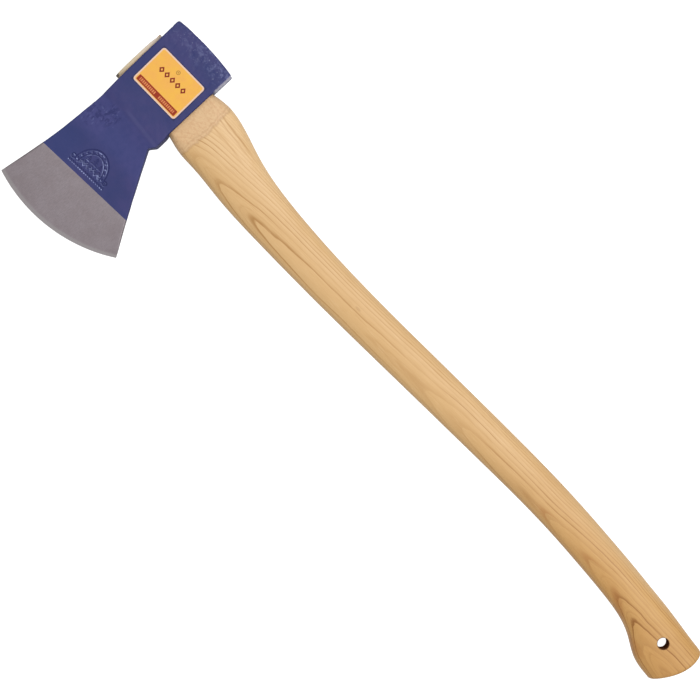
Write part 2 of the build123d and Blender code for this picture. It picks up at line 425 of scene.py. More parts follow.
def head_grid():
    """Points over the head's outline: rows run from poll to edge, columns from top side to underside."""
    rim = RIM / 75
    u = np.concatenate([rim, np.linspace(rim[-1], 1 - rim[-1], ACROSS_INNER + 2)[1:-1], 1 - rim[::-1]])
    poll_rim = RIM / 88
    rows = [(0, t) for t in poll_rim]
    rows += [(0, t) for t in np.linspace(poll_rim[-1], 1, 84)[1:-1]]
    rows += [(1, t) for t in np.linspace(0, 1, 121)[:-1]]
    rows += [(2, t) for t in np.linspace(0, 1, 34)[:-1]]
    rows += [(3, t) for t in np.linspace(0, 1, 5)]
    curves = [
        poll_curve,
        lambda x: CREASE_Y + 0 * x,
        paint_line,
        lambda x: edge_curve(x) + HONE_WIDTH,
        edge_curve,
    ]
    band = np.array([r[0] for r in rows])
    share = np.array([r[1] for r in rows])[:, None]
    u = u[None, :]
    x = TOP_X + (BOTTOM_X - TOP_X) * u + 0 * share
    for _ in range(12):
        values = np.array([curve(x) for curve in curves])
        start = np.take_along_axis(values, band[None, :, None], 0)[0]
        end = np.take_along_axis(values, band[None, :, None] + 1, 0)[0]
        y = start + (end - start) * share
        x = top_side(y) * (1 - u) + bottom_side(y) * u
    return x, y, band


def round_corner(x, y, row, column, radius):
    """Rounds the grid's corner at row, column: points of the square corner move onto a circle's quarter."""
    cx, cy = x[row, column], y[row, column]
    middle = 60 if column == 0 else -61
    along_row = np.array([x[row, middle] - cx, y[row, middle] - cy])
    step = 12 if row == 0 else -9
    down = np.array([x[step, column] - cx, y[step, column] - cy])
    e1, e2 = along_row / np.hypot(*along_row), down / np.hypot(*down)
    a, b = (p * (x - cx) + q * (y - cy) for p, q in np.linalg.inv(np.array([e1, e2]).T))
    inside = (a < radius) & (b < radius) & (a > -0.5) & (b > -0.5)
    pa, pb = radius - a, radius - b
    square = np.maximum(np.maximum(pa, pb), 1e-6)
    circle = np.maximum(np.hypot(pa, pb), 1e-6)
    scale = np.where(inside, square / circle, 1)
    na, nb = radius - pa * scale, radius - pb * scale
    x = np.where(inside, cx + e1[0] * na + e2[0] * nb, x)
    y = np.where(inside, cy + e1[1] * na + e2[1] * nb, y)
    return x, y


def build_head():
    x, y, band = head_grid()
    side = np.minimum(
        np.hypot(x - x[:, :1], y - y[:, :1]),
        np.hypot(x - x[:, -1:], y - y[:, -1:]),
    )
    poll = np.hypot(x - x[:1], y - y[:1])
    thick = half_thickness(x, y)
    for row, column, radius in ((0, 0, 1.5), (0, -1, 1.6), (-1, 0, 0.6), (-1, -1, 0.7)):
        x, y = round_corner(x, y, row, column, radius)
    radius = np.clip(thick * 0.55, 0.0, 1.5) + 1e-6
    drop = np.maximum(round_over(side, radius), round_over(poll, radius * 1.3))
    drop = np.minimum(drop, thick)
    z = thick - drop
    rows, columns = x.shape
    top = np.stack([x, y, HALF + z], -1)
    bottom = np.stack([x, y, HALF - z], -1)
    points = [top.reshape(-1, 3), bottom.reshape(-1, 3)]
    faces = grid_faces(rows, columns) + grid_faces(rows, columns, rows * columns)
    slots = np.repeat((band[:-1] >= 2).astype(np.int32), columns - 1)
    slots = [slots, slots]
    loop = [(i, 0) for i in range(rows - 1, 0, -1)] + [(0, j) for j in range(columns)]
    loop += [(i, columns - 1) for i in range(1, rows)]
    loop = np.array(loop)
    upper, lower = top[loop[:, 0], loop[:, 1]], bottom[loop[:, 0], loop[:, 1]]
    share = np.linspace(0, 1, WALL_ROWS)[:, None, None]
    wall = upper[None] * (1 - share) + lower[None] * share
    faces += grid_faces(WALL_ROWS, len(loop), 2 * rows * columns)
    points.append(wall.reshape(-1, 3))
    wall_slot = (np.minimum(band[loop[:-1, 0]], band[loop[1:, 0]]) >= 2).astype(np.int32)
    slots.append(np.tile(wall_slot, WALL_ROWS - 1))
    head = make_object("head_forging", np.vstack(points), faces, np.concatenate(slots))
    displace_head(head)
    return head


def displace_head(head):
    """Adds the forged skin, the dents and the stamped ornament along the normals."""
    mesh = head.data
    count = len(mesh.vertices)
    points = np.empty(count * 3)
    normals = np.empty(count * 3)
    mesh.vertices.foreach_get("co", points)
    mesh.vertex_normals.foreach_get("vector", normals)
    points = points.reshape(-1, 3) / MM
    normals = normals.reshape(-1, 3)
    x, y, z = points.T
    forged = blend(-2, 3, y - paint_line(x))
    bit = 1 - forged
    label_x, label_y = LABEL_MIDDLE[:2]
    label_gap = np.maximum(np.abs(x - label_x) - LABEL_WIDTH / 2, np.abs(y - label_y) - LABEL_HEIGHT / 2)
    calm = 0.25 + 0.75 * blend(0, 5, label_gap)
    lumps = 0.16 * noise(points, 17, 1) + 0.09 * noise(points, 7, 2)
    skin = 0.05 * noise(points, 3.1, 3) + 0.025 * noise(points, 1.4, 4)
    hammered = blend(76, 90, y)
    dents = -0.35 * blend(0.35, 0.8, noise(points, 3.4, 5)) * hammered
    dents -= 0.22 * blend(0.5, 0.85, noise(points, 2.2, 6)) * hammered
    worn = sum(np.exp(-((x - a) ** 2 + (y - b) ** 2) / c) for a, b, c in WORN_SPOTS)
    dents -= 0.3 * blend(0.1, 0.7, noise(points, 4.2, 8)) * np.clip(worn, 0, 1)
    shift = (lumps + skin + dents) * forged * calm + 0.02 * noise(points, 9, 7) * bit
    thin = np.clip((y - edge_curve(x)) / 12, 0, 1)
    shift = shift * thin
    cheek = np.clip(normals[:, 2], 0, 1) > 0.8
    shift = shift - 0.4 * ornament(Grid(x), Grid(y)).array * cheek
    points = points + normals * np.minimum(shift, 0.12)[:, None]
    mesh.vertices.foreach_set("co", (points * MM).ravel())
    mesh.update()
    tidy(mesh, 38)


# ---------------- handle
# Sections of the handle: (mm below the head, low Y, high Y, thickness, squareness).
SECTIONS = np.array([
    (0, 27.3, 79.1, 27.0, 3.0),
    (16.3, 23.9, 81.8, 27.0, 3.0),
    (33.3, 23.5, 80.2, 26.6, 2.8),
    (67.3, 21.4, 71.0, 25.0, 2.6),
    (119.3, 20.8, 63.6, 23.0, 2.4),
    (186.8, 22.5, 61.6, 22.4, 2.3),
    (289.8, 27.4, 64.7, 22.4, 2.3),
    (391.3, 32.5, 68.9, 23.0, 2.3),
    (459.8, 34.7, 70.1, 23.6, 2.3),
    (511.3, 33.3, 68.6, 24.2, 2.3),
    (544.8, 31.2, 66.9, 25.2, 2.3),
    (561.8, 28.9, 65.7, 26.0, 2.3),
    (578.8, 23.3, 64.6, 26.8, 2.4),
    (596.3, 14.4, 63.0, 27.6, 2.5),
    (613.3, 11.5, 61.0, 27.9, 2.5),
    (646.8, 10.9, 58.3, 27.9, 2.5),
])
low_y, high_y, thickness_at, squareness_at = (
    spline_through(SECTIONS[:, 0] + BOTTOM_X, SECTIONS[:, k]) for k in (1, 2, 3, 4)
)
AROUND = 120
KNOB_START = 297.0  # from here the rings lean over to follow the slanted end
END_FALL = 1.3  # of the haft's end above the head, at its corner on the poll's side
_end_curve = spline_through(
    [5, 20, 38, 46, 56, 65],
    [KNOB_X - 19.5, KNOB_X - 9.3, KNOB_X - 1.1, KNOB_X, KNOB_X - 1.0, KNOB_X - 4.0],
)
ANGLES = np.linspace(0, 2 * math.pi, AROUND, endpoint=False)


def power(value, exponent):
    return np.sign(value) * np.abs(value) ** exponent


def oval(squareness):
    c, s = power(np.cos(ANGLES), 2 / squareness), power(np.sin(ANGLES), 2 / squareness)
    return c, s


def eye_ring(x, grow=0.0):
    c, s = oval(2.5)
    share = (BOTTOM_X + 6 - x) / (BOTTOM_X + 6 - HANDLE_TOP_X)
    lean = EYE_LEAN * share / 2
    y = EYE_Y + lean + (EYE_LENGTH / 2 + lean + grow) * c
    z = HALF + ((EYE_WIDTH + share) / 2 + grow) * s
    above = np.clip((TOP_X - x) / (TOP_X - HANDLE_TOP_X), 0, 1)
    fall = END_FALL * above * np.clip((y - EYE_Y - 14) / 13, 0, 1) ** 2
    return np.stack([x + fall, y, z], -1)


def body_ring(t):
    """Ring of the handle's body: plane up to the knob, then leaning over to follow the slanted end."""
    x = np.full(AROUND, min(t, KNOB_START))
    for _ in range(6):
        c, s = oval(squareness_at(x.mean()))
        y = (low_y(x) + high_y(x)) / 2 + (high_y(x) - low_y(x)) / 2 * c
        if t > KNOB_START:
            share = (t - KNOB_START) / (KNOB_X - KNOB_START)
            x = KNOB_START + share * (_end_curve(y) - KNOB_START)
    z = thickness_at(x) / 2 * s
    facet = EYE_WIDTH / 2 + 0.3 + 0.16 * (x - BOTTOM_X) + 0.02 * (y - EYE_Y)
    height = soft_min(np.abs(z), facet, 0.5)
    past = x - BOTTOM_X
    ridge_y = 71.8 - 0.18 * (np.clip(past, 0, 90) - 19.5)
    bevel = 0.9 * thickness_at(x) / 2 - 0.42 * (y - ridge_y) + 0.2 * np.clip(past - 70, 0, None)
    height = soft_min(height, np.maximum(bevel, 0.5), 0.6)
    z = np.sign(z) * np.clip(height, 0, None)
    return np.stack([x, y, HALF + z], -1)


def build_handle():
    rings = []
    rounding = 0.9
    for k in range(5):
        angle = math.pi / 2 * k / 4
        inset = rounding * (1 - math.sin(angle))
        ring = eye_ring(HANDLE_TOP_X + rounding * (1 - math.cos(angle)), -inset)
        if k == 0:
            centre = ring.mean(0)
            rings += [centre + (ring - centre) * s for s in (0.15, 0.4, 0.65, 0.85, 0.95)]
        rings.append(ring)
    rings += [eye_ring(x) for x in np.linspace(HANDLE_TOP_X + 2, BOTTOM_X - 0.05, 40)]
    stations = np.concatenate([
        np.arange(BOTTOM_X, BOTTOM_X + 70, 0.75),
        np.arange(BOTTOM_X + 70, 260, 1.9),
        np.arange(260, KNOB_X - 3.9, 1.0),
        [KNOB_X],
    ])
    body = [body_ring(t) for t in stations]
    last = body.pop()
    centre = last.mean(0)
    rounding = 2.6
    spans = np.linalg.norm((last - centre)[:, 1:], axis=1)[:, None]
    for k in range(7):
        angle = math.pi / 2 * k / 6
        inset = rounding * (1 - math.cos(angle))
        shrunk = centre + (last - centre) * (1 - inset / spans)
        shrunk[:, 0] = _end_curve(shrunk[:, 1]) - rounding * (1 - math.sin(angle))
        body.append(shrunk)
    for scale in (0.93, 0.85, 0.7, 0.5, 0.3, 0.12):
        ring = centre + (shrunk - centre) * scale
        ring[:, 0] = _end_curve(ring[:, 1])
        body.append(ring)
    return tube("haft", rings + body, sharp_angle=40)


def turned(profile, around=64):
    """Circles round Z from (radius, height) pairs."""
    angles = np.linspace(0, 2 * math.pi, around, endpoint=False)
    c, s = np.cos(angles), np.sin(angles)
    return np.array([np.stack([r * c, r * s, np.full(around, h)], -1) for r, h in profile])


def hole_cutter():
    """Pin for the hang hole, with a small round flare at both ends."""
    flare, skin, beyond = 0.6, 0.15, 3.0
    lip = [
        (HOLE_RADIUS + flare * (1 - math.sqrt(1 - (1 - h) ** 2)), flare * h)
        for h in (0, 0.1, 0.3, 0.6, 1.0)
    ]
    profile = [(HOLE_RADIUS + flare, -beyond)]
    profile += [(r, skin + h) for r, h in lip]
    profile += [(r, 2 * HALF - skin - h) for r, h in reversed(lip)]
    profile += [(HOLE_RADIUS + flare, 2 * HALF + beyond)]
    return tube("hole", turned(profile) + (HOLE[0], HOLE[1], 0))


def kerf_cutter():
    """Wedge-shaped block for the kerf, a hair thicker than the wooden wedge and right through the handle."""
    gap, half_length = 0.12, 30
    start = (WEDGE_LOW[0] - 3, WEDGE_HIGH[2] + gap)
    end = (WEDGE_HIGH[0] + 1, HALF + 0.5)
    points = []
    for x, z in (start, end):
        for y in (EYE_Y - half_length, EYE_Y + half_length):
            points += [(x, y, z), (x, y, 2 * HALF - z)]
    faces = [(0, 1, 3, 2), (4, 6, 7, 5), (0, 2, 6, 4), (1, 5, 7, 3), (0, 4, 5, 1), (2, 3, 7, 6)]
    return make_object("kerf", points, faces)


def groove_cutter():
    """Ring for the groove that the steel ring sits in."""
    gap, wall, tip_wall = 0.06, 1.8, 0.7
    radius = (RING_HIGH[1] - RING_LOW[1]) / 2
    deep, out = RING_HIGH[0] + 0.1, RING_LOW[0] - 2
    outline = [(radius + gap, out), (radius + gap, deep), (radius - tip_wall, deep)]
    outline += [(radius - wall - gap, RING_LOW[0]), (radius - wall - gap, out)]
    rings = np.roll(turned(outline), 1, axis=-1) + (0, EYE_Y, HALF)
    count, around = rings.shape[:2]
    return make_object("groove", rings.reshape(-1, 3), ring_faces(count, count, around))


# ---------------- label


def build_label():
    """Thin sheet with rounded corners, very slightly wavy on top."""
    width, height, corner = LABEL_WIDTH, LABEL_HEIGHT, 2.6
    us = np.linspace(-1, 1, 81)
    vs = np.linspace(-1, 1, 61)
    a, b = np.meshgrid(us * width / 2, vs * height / 2, indexing="ij")
    pa, pb = np.abs(a) - (width / 2 - corner), np.abs(b) - (height / 2 - corner)
    inside = (pa > 0) & (pb > 0)
    scale = np.where(inside, np.maximum(pa, pb) / np.maximum(np.hypot(pa, pb), 1e-6), 1)
    a = np.where(inside, np.sign(a) * (width / 2 - corner + pa * scale), a)
    b = np.where(inside, np.sign(b) * (height / 2 - corner + pb * scale), b)
    x = LABEL_MIDDLE[0] + a * math.cos(LABEL_TILT) - b * math.sin(LABEL_TILT)
    y = LABEL_MIDDLE[1] + a * math.sin(LABEL_TILT) + b * math.cos(LABEL_TILT)
    flat = np.stack([x, y, np.zeros_like(x)], -1)
    top = 2 * HALF + 0.16 + 0.03 * noise(flat, 9, 21) + 0.012 * noise(flat, 3, 22)
    upper = np.stack([x, y, top], -1)
    lower = np.stack([x, y, np.full_like(x, 2 * HALF - 0.1)], -1)
    rows, columns = x.shape
    loop = [(i, 0) for i in range(rows)] + [(rows - 1, j) for j in range(1, columns)]
    loop += [(i, columns - 1) for i in range(rows - 2, -1, -1)] + [(0, j) for j in range(columns - 2, 0, -1)]
    index = [i * columns + j for i, j in loop]
    faces = grid_faces(rows, columns) + grid_faces(rows, columns, rows * columns)
    for p, q in zip(index, index[1:] + index[:1]):
        faces.append((p, q, q + rows * columns, p + rows * columns))
    return make_object("cheek_label", np.vstack([upper.reshape(-1, 3), lower.reshape(-1, 3)]), faces)


# ---------------- material helper


def feed(tree, node, items):
    """Gives inputs of a node, by name or place, their items: a Value, or a plain number or colour."""
    for key, item in items.items():
        if isinstance(item, Value):
            tree.links.new(item.socket, node.inputs[key])
        else:
            node.inputs[key].default_value = item


class Value:
    """A number or colour in a node tree; arithmetic on a number adds Math nodes."""

    def __init__(self, tree, socket):
        self.tree = tree
        self.socket = socket

    def op(self, operation, *others):
        node = self.tree.nodes.new("ShaderNodeMath")
        node.operation = operation
        feed(self.tree, node, dict(enumerate((self, *others))))
        return Value(self.tree, node.outputs[0])

    def ramp(self, low, high, start=0.0, end=1.0):
        """start below low, end above high and a smooth change between."""
        node = self.tree.nodes.new("ShaderNodeMapRange")
        node.interpolation_type = "SMOOTHSTEP"
        limits = {"From Min": low, "From Max": high, "To Min": start, "To Max": end}
        feed(self.tree, node, {"Value": self, **limits})
        return Value(self.tree, node.outputs["Result"])

    def fall(self, low, high):
        """1 below low, 0 above high and a smooth change between."""
        return self.ramp(low, high, 1.0, 0.0)


def value_method(operation):
    return lambda self, *others: self.op(operation, *others)


for _name, _operation in {
    "__add__": "ADD",
    "__radd__": "ADD",
    "__sub__": "SUBTRACT",
    "__mul__": "MULTIPLY",
    "__truediv__": "DIVIDE",
    "__pow__": "POWER",
    "abs": "ABSOLUTE",
    "fract": "FRACT",
    "sqrt": "SQRT",
    "max": "MAXIMUM",
    "min": "MINIMUM",
    "angle": "ARCTAN2",
}.items():
    setattr(Value, _name, value_method(_operation))


LIGHT_LEVEL = 2.25


def srgb(r, g, b):
    """Linear colour of a surface that shows these 0-255 screen values under the studio light."""
    parts = [c / 255 for c in (r, g, b)]
    linear = [c / 12.92 if c <= 0.04045 else ((c + 0.055) / 1.055) ** 2.4 for c in parts]
    return tuple(c / LIGHT_LEVEL for c in linear) + (1.0,)


class Paint:
    """A material being built, with helpers for places, noises, colours and bumps in object millimetres."""

    def __init__(self, name, **settings):
        self.material = bpy.data.materials.new(name)
        self.material.use_nodes = True
        self.tree = self.material.node_tree
        self.shader = self.tree.nodes["Principled BSDF"]
        for key, value in settings.items():
            self.shader.inputs[key.replace("_", " ")].default_value = value
        coordinate = self.tree.nodes.new("ShaderNodeTexCoord")
        scale = self.tree.nodes.new("ShaderNodeVectorMath")
        scale.operation = "SCALE"
        scale.inputs["Scale"].default_value = 1 / MM
        self.tree.links.new(coordinate.outputs["Object"], scale.inputs[0])
        split = self.tree.nodes.new("ShaderNodeSeparateXYZ")
        self.tree.links.new(scale.outputs[0], split.inputs[0])
        self.x, self.y, self.z = (Value(self.tree, split.outputs[k]) for k in range(3))
        self.height = None
        self.shade = None

    def vector(self, x, y, z):
        node = self.tree.nodes.new("ShaderNodeCombineXYZ")
        feed(self.tree, node, {"X": x, "Y": y, "Z": z})
        return Value(self.tree, node.outputs[0])

    def noise(self, size, detail=2.0, stretch=(1, 1, 1), place=None, roughness=0.5, shift=0.0):
        """Noise of about 0 to 1 with grains of the given size in mm, longer along a stretched axis."""
        x, y, z = (axis / (size * long) for axis, long in zip(place or (self.x, self.y, self.z), stretch))
        node = self.tree.nodes.new("ShaderNodeTexNoise")
        vector = self.vector(x + shift, y, z)
        feed(self.tree, node, {"Vector": vector, "Scale": 1.0, "Detail": detail, "Roughness": roughness})
        return Value(self.tree, node.outputs["Fac"])

    def curve(self, value, xs, ys):
        """Smooth curve through the points (xs, ys), looked up at value."""
        xs, ys = np.asarray(xs, float), np.asarray(ys, float)
        low, length, span = ys.min(), xs[-1] - xs[0], ys.max() - ys.min()
        node = self.tree.nodes.new("ShaderNodeFloatCurve")
        points = node.mapping.curves[0].points
        for _ in range(len(xs) - 2):
            points.new(0.5, 0.5)
        for point, x, y in zip(points, (xs - xs[0]) / length, (ys - low) / span):
            point.location = (x, y)
        node.mapping.update()
        feed(self.tree, node, {"Value": (value - xs[0]) / length})
        return Value(self.tree, node.outputs["Value"]) * span + low

    def mix(self, share, a, b):
        """Colour a where share is 0 and b where it is 1."""
        node = self.tree.nodes.new("ShaderNodeMix")
        node.data_type = "RGBA"
        feed(self.tree, node, {0: share, 6: a, 7: b})
        return Value(self.tree, node.outputs[2])

    def coat(self, share, colour):
        """Lays colour over the shade so far, as thickly as share says."""
        self.shade = self.mix(share, self.shade, colour)

    def on_label(self):
        """Place along and across the label, from its middle."""
        a, b = self.x - LABEL_MIDDLE[0], self.y - LABEL_MIDDLE[1]
        c, s = math.cos(LABEL_TILT), math.sin(LABEL_TILT)
        return a * c + b * s, b * c - a * s

    def set(self, name, value):
        feed(self.tree, self.shader, {name: value})

    def bump(self, height, depth):
        """Adds a bump: height is a Value and depth its full height in mm."""
        total = height * (depth * MM)
        self.height = total if self.height is None else self.height + total

    def done(self):
        self.set("Base Color", self.shade)
        if self.height is not None:
            node = self.tree.nodes.new("ShaderNodeBump")
            feed(self.tree, node, {"Distance": 1.0, "Strength": 1.0, "Height": self.height})
            self.set("Normal", Value(self.tree, node.outputs["Normal"]))
        return self.material


# ---------------- materials


def chipped_paint(m):
    """Dark chips and small glints at the worn spots of the upper cheek."""
    worn = None
    for x, y, _ in WORN_SPOTS:
        far = (m.x - x) ** 2.0 + (m.y - y) ** 2.0
        worn = far if worn is None else worn.min(far)
    worn = worn.fall(30.0, 160.0) * m.z.ramp(HALF, HALF + 2)
    chips = m.noise(2.6, 3, stretch=(1, 2, 1), shift=41).ramp(0.52, 0.6)
    m.coat(chips * worn * 0.45, srgb(34, 38, 92))
    glints = m.noise(1.9, 2, stretch=(1, 2, 1), shift=47).ramp(0.6, 0.68)
    m.coat(glints * worn * 0.4, srgb(110, 116, 166))


def side_wall_shade_and_reflection(m):
    """Painted shade on the head's narrow sides, and a painted pale reflection of the floor on the underside
    of the poll; returns where the sides are.
    """
    run = (m.y * -1.0 + CREASE_Y) / (CREASE_Y - PAINT_LINE_Y)
    cheek = m.curve(run, CHEEK_RUN, CHEEK_HEIGHT) * HALF
    wall = (cheek - (m.z - HALF).abs()).ramp(0.5, 1.4) * m.y.ramp(79, 84, 0.42, 0.0)
    # painted shade: the narrow sides are darkened, fading out near the poll
    m.coat(wall, srgb(30, 32, 78))
    # painted reflection: the floor's pale light on the poll's underside, mottled by noise
    flank = m.x.ramp(BOTTOM_X - 0.9, BOTTOM_X - 0.3) * m.y.ramp(79, 84) * m.z.ramp(HALF - 8, HALF)
    flank = flank * m.noise(3.0, 3, shift=53).ramp(0.35, 0.6, 0.35, 0.8)
    m.coat(flank, srgb(196, 192, 214))
    return wall


def ornament_shade_and_highlights(m, pressed):
    """Painted shadow in the ornament, and painted highlights along its edges and along the row of bars."""
    upper = m.z.ramp(HALF, HALF + 1)
    shine = (ornament(m.x, m.y + 0.75) - pressed).max(0.0) * upper
    highlight_patches = m.noise(5.5, 2, shift=23).ramp(0.38, 0.66, 0.12, 1.0)
    row = (m.y - STAMP_Y - (m.x - STAMP_X) * STAMP_TILT + 1.1).abs().fall(1.2, 1.8)
    row = row * m.noise(3.2, 2, shift=43).ramp(0.36, 0.56, 0.15, 1.0)
    row = row * m.x.ramp(STAMP_X - 10, STAMP_X + 10, 0.4, 1.0)
    # painted shadow in the recesses, then painted highlights along the edges and the row of bars
    m.coat(pressed * upper * 0.5, srgb(34, 38, 98))
    m.coat(shine * highlight_patches.max(row) * 0.85, srgb(175, 186, 235))


def blue_paint():
    m = Paint("blue_head_paint", Roughness=0.4, Specular_IOR_Level=0.1)
    broad = m.noise(38, 2)
    fine = m.noise(5, 3, shift=3)
    m.shade = m.mix(broad.ramp(0.35, 0.65), srgb(56, 62, 114), srgb(68, 67, 120))
    m.coat(m.y.ramp(-30, -12) * m.y.ramp(9, 15, 0.5, 0.0), srgb(76, 80, 140))
    deep_blue = m.y.ramp(-40, -12, 0.55, 0.0) * m.x.fall(TOP_X + 8.6, TOP_X + 43.6)
    m.coat(deep_blue, srgb(44, 62, 118))
    m.coat(fine.ramp(0.35, 0.75, 0, 0.3), srgb(48, 60, 116))
    near_poll = m.y.ramp(80, 97) * m.x.ramp(TOP_X, BOTTOM_X, 0.45, 1.0)
    scuff = m.noise(4.2, 4, shift=17, roughness=0.65).ramp(0.5, 0.66)
    m.coat(scuff * near_poll * 0.6, srgb(116, 122, 168))
    specks = m.noise(1.7, 2, shift=11).ramp(0.66, 0.72)
    m.coat(specks * near_poll * 0.4, srgb(190, 195, 225))
    a, b = m.on_label()
    # painted shadow of the label's edge on the paint round it
    beside = (a.abs() - LABEL_WIDTH / 2).max(b.abs() - LABEL_HEIGHT / 2)
    upper = m.z.ramp(HALF, HALF + 2)
    m.coat(beside.ramp(0.2, 1.5, 0.5, 0.0) * upper, srgb(26, 28, 66))
    chipped_paint(m)
    wall = side_wall_shade_and_reflection(m)
    # painted highlight: a pale band along the crease where the cheek's taper begins
    below_top = m.x - TOP_X
    crease = (m.y - 15.7 + (below_top - 25.8) * 0.076).abs().fall(0.3, 2.8)
    crease = crease * below_top.ramp(20.6, 30.6) * upper
    m.coat(crease * 0.16, srgb(110, 112, 158))
    pressed = ornament(m.x, m.y)
    ornament_shade_and_highlights(m, pressed)
    m.set("Roughness", m.noise(3, 3, shift=5).ramp(0.3, 0.7, 0.34, 0.5).max(wall * 1.8))
    m.bump(m.noise(2.6, 3, shift=7), 0.10)
    m.bump(m.noise(0.7, 2, shift=9), 0.02)
    m.bump(pressed * m.z.ramp(HALF, HALF + 1), -0.25)
    m.bump(scuff * near_poll, -0.15)
    return m.done()


def ground_steel(name="ground_bit_steel"):
    m = Paint(name, Metallic=1.0, Roughness=0.42)
    streak = m.noise(0.3, 2, stretch=(1, 30, 1))
    broad = m.noise(12, 4, shift=2, roughness=0.6)
    m.shade = m.mix(broad.ramp(0.3, 0.7), srgb(153, 142, 146), srgb(160, 150, 155))
    m.coat(m.noise(1.6, 3, shift=27).ramp(0.35, 0.75, 0, 0.3), srgb(138, 128, 132))
    m.coat(streak.ramp(0.35, 0.7, 0, 0.3), srgb(134, 126, 130))
    from_apex = m.x - EDGE_APEX_X
    from_edge = m.y - (EDGE_Y + EDGE_RADIUS) + (from_apex * from_apex * -1.0 + EDGE_RADIUS**2).max(0.0).sqrt()
    hone = from_edge.fall(2.0, HONE_WIDTH + 1.6) * m.y.fall(-70, -60)
    m.coat(hone * 0.7, srgb(176, 171, 172))
    m.set("Roughness", streak.ramp(0.3, 0.7, 0.4, 0.54))
    m.bump(streak, 0.01)
    return m.done()


PITH_HEIGHT = 100.0  # of the middle of the year rings, above the floor
YEAR_WIDTH = 2.0
# Pointed loops of the grain on the upper side: (mm below the head, Y of the tip, year ring).
LOOPS = np.array([
    (10.6, 33.0, 1.5),
    (24.6, 32.0, 0.4),
    (37.6, 31.0, -0.2),
    (63.6, 30.0, -1),
    (105.6, 31.0, -2),
    (180.6, 32.0, -2.45),
    (250.6, 36.0, -2.65),
    (292.6, 38.5, -2.8),
    (315.6, 40.3, -3),
    (340.6, 40.0, -3.7),
    (362.6, 40.0, -4),
    (420.6, 41.0, -4.7),
    (456.6, 41.5, -5),
    (507.6, 42.0, -6),
    (549.6, 41.0, -7),
    (575.6, 33.0, -8),
    (592.6, 27.0, -9),
    (615.6, 24.0, -9.7),
    (636.6, 23.0, -10),
])
# Patches of darker wood in the grip: (mm below the head, Y, half length, half width, slope).
HEARTS = [
    (553.4, 35.0, 17.0, 5.0, 0.5),
    (585.4, 20.0, 18.0, 6.0, 0.1),
]
# Dark tips of two pale flames of grain: (mm below the head, Y).
FLAMES = [(455.4, 42.5), (509.4, 42.5)]
# Single dark lines that cross the shoulder: (Y, strength).
STRIPES = [(71.9, 0.45), (68.3, 0.3), (60.5, 0.25)]


def upper_surface(x, y):
    """Z of the handle's upper side at x, y."""
    middle, half = (low_y(x) + high_y(x)) / 2, (high_y(x) - low_y(x)) / 2
    squareness = squareness_at(x)
    c = np.clip(np.abs((y - middle) / half), 0, 0.999)
    return HALF + thickness_at(x) / 2 * (1 - c**squareness) ** (1 / squareness)


def haft_years(m):
    """Year rings round a pith above the haft, placed so that each loop's tip is where LOOPS says."""
    below = LOOPS[:, 0] + BOTTOM_X
    xs = np.linspace(below[0], below[-1], 64)
    window = np.exp(-((xs[:, None] - xs[None, :]) ** 2) / (2 * 16.0**2))
    window /= window.sum(1, keepdims=True)
    valley = window @ np.interp(xs, below, LOOPS[:, 1])
    year = np.interp(xs, below, LOOPS[:, 2])
    slope = (upper_surface(xs, valley + 0.3) - upper_surface(xs, valley - 0.3)) / 0.6
    pith_y = window @ (valley - slope * (PITH_HEIGHT - upper_surface(xs, valley)))
    ys = np.linspace(10, 80, 281)[:, None]
    inside = (ys > low_y(xs) + 0.5) & (ys < high_y(xs) - 0.5)
    distance = np.hypot(ys - pith_y, PITH_HEIGHT - upper_surface(xs, ys))
    nearest = np.where(inside, distance, 1e3).min(0)
    across = m.y - m.curve(m.x, xs, pith_y)
    deep = m.z - PITH_HEIGHT
    radius = (across * across + deep * deep).sqrt()
    return radius / YEAR_WIDTH + m.curve(m.x, xs, year - nearest / YEAR_WIDTH), across / radius


def wood(name, tones, rings, calm):
    """Ash: year rings with a dark line on their inner side, fine fibres and a slow change of colour.

    tones gives the light, middle and dark colour, rings the year ring and its tilt, calm the lines' strength.
    """
    m = Paint(name, Roughness=0.5, Specular_IOR_Level=0.2)
    light, mid, dark = tones(m)
    year, tilt = rings(m)
    wander = (m.noise(28, 2, stretch=(3.5, 1, 1), shift=4) - 0.5) * 0.8
    ripple = (m.noise(5, 2, stretch=(5, 1, 1), shift=9) - 0.5) * 0.22
    year = year + wander + ripple
    ring = year.fract()
    which = (year - ring) * 4.3
    strength = m.noise(1.0, 1, place=(m.x / 90.0, which, which * 0.37), shift=13).ramp(0.38, 0.6, 0.08, 1.0)
    strength = strength * tilt.ramp(0.45, 0.85, 1.0, 0.3) * calm(m)
    line = ring.fall(0.0, 0.3) * ring.ramp(0.0, 0.05)
    glow = ring.fall(0.0, 0.75)
    second = (year * 2.7 + 0.3).fract()
    faint = second.fall(0.0, 0.4) * second.ramp(0.0, 0.1)
    fibre = m.noise(0.42, 3, stretch=(38, 1, 1), shift=6)
    streak = m.noise(2.1, 2, stretch=(26, 1, 1), shift=16)
    patch = m.noise(34, 2, stretch=(2.5, 1, 1), shift=21)
    # lighter where the rings cross the surface steeply, on the haft towards the poll's side: partly the
    # wood's own tone, partly painted light from that side
    m.shade = m.mix(tilt.ramp(0.3, 0.62, 0.75, 0.0), light, mid)
    m.coat(patch.ramp(0.3, 0.7, 0.0, 0.35), mid)
    m.coat(streak.ramp(0.4, 0.75, 0.0, 0.3), mid)
    m.coat(glow * 0.17, dark)
    m.coat(line * strength * 0.75, dark)
    m.coat(faint * strength * 0.2, dark)
    m.coat(fibre.ramp(0.5, 0.78, 0.0, 0.22), dark)
    m.coat(m.noise(0.6, 2, stretch=(24, 1, 1), shift=26).ramp(0.58, 0.74, 0.0, 0.4), light)
    return m, fibre, line * strength


